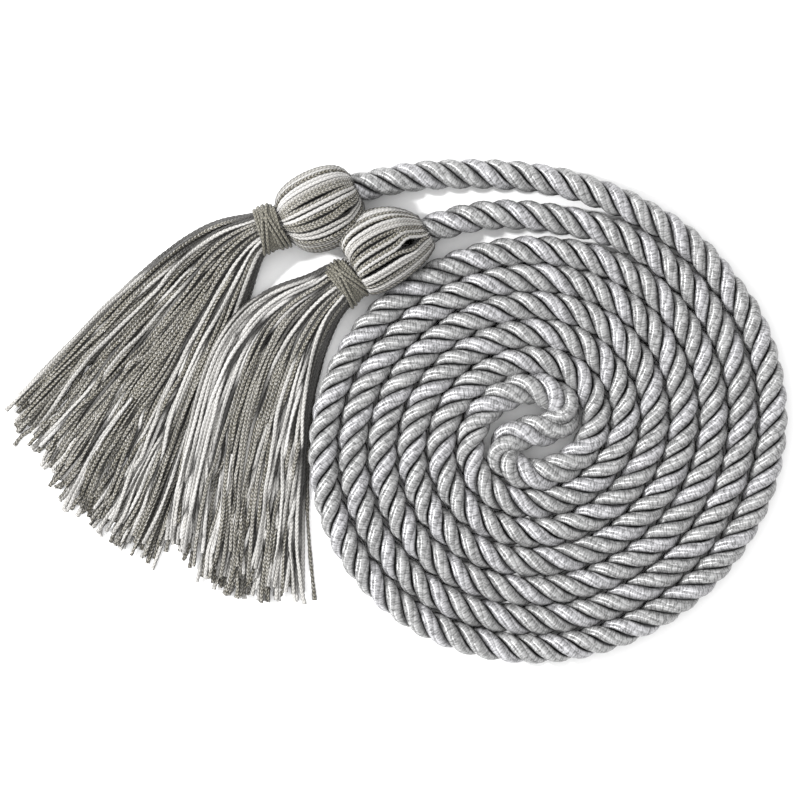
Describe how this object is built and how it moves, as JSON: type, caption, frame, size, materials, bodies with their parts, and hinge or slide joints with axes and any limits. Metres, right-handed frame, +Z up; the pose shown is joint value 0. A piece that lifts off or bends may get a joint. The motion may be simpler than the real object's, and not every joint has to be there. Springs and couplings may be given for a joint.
{
  "type": "honor cord",
  "caption": "Twisted satin honor cord, folded at its middle and wound flat as a double spiral, with a bound thread tassel on each end.",
  "frame": {"origin": "middle of the whole cord's box, on the surface that it lies on", "axes": "+X from the tassels to the coil, +Y from the tassels' cut ends to their heads, +Z up from the surface"},
  "size_m": [0.1944, 0.1256, 0.0145],
  "materials": {
    "cord_satin": "silver-grey satin filament strands, twisted",
    "tassel_thread": "matte olive-grey and off-white chainette thread",
    "binding_thread": "matte olive-grey thread, wound tight"
  },
  "bodies": {
    "root": {"cord_coil": "cord_satin", "cord_lead_back": "cord_satin", "cord_lead_front": "cord_satin", "tassel_back": "tassel_thread", "tassel_front": "tassel_thread", "binding_back": "binding_thread", "binding_front": "binding_thread"}
  },
  "joints": []
}
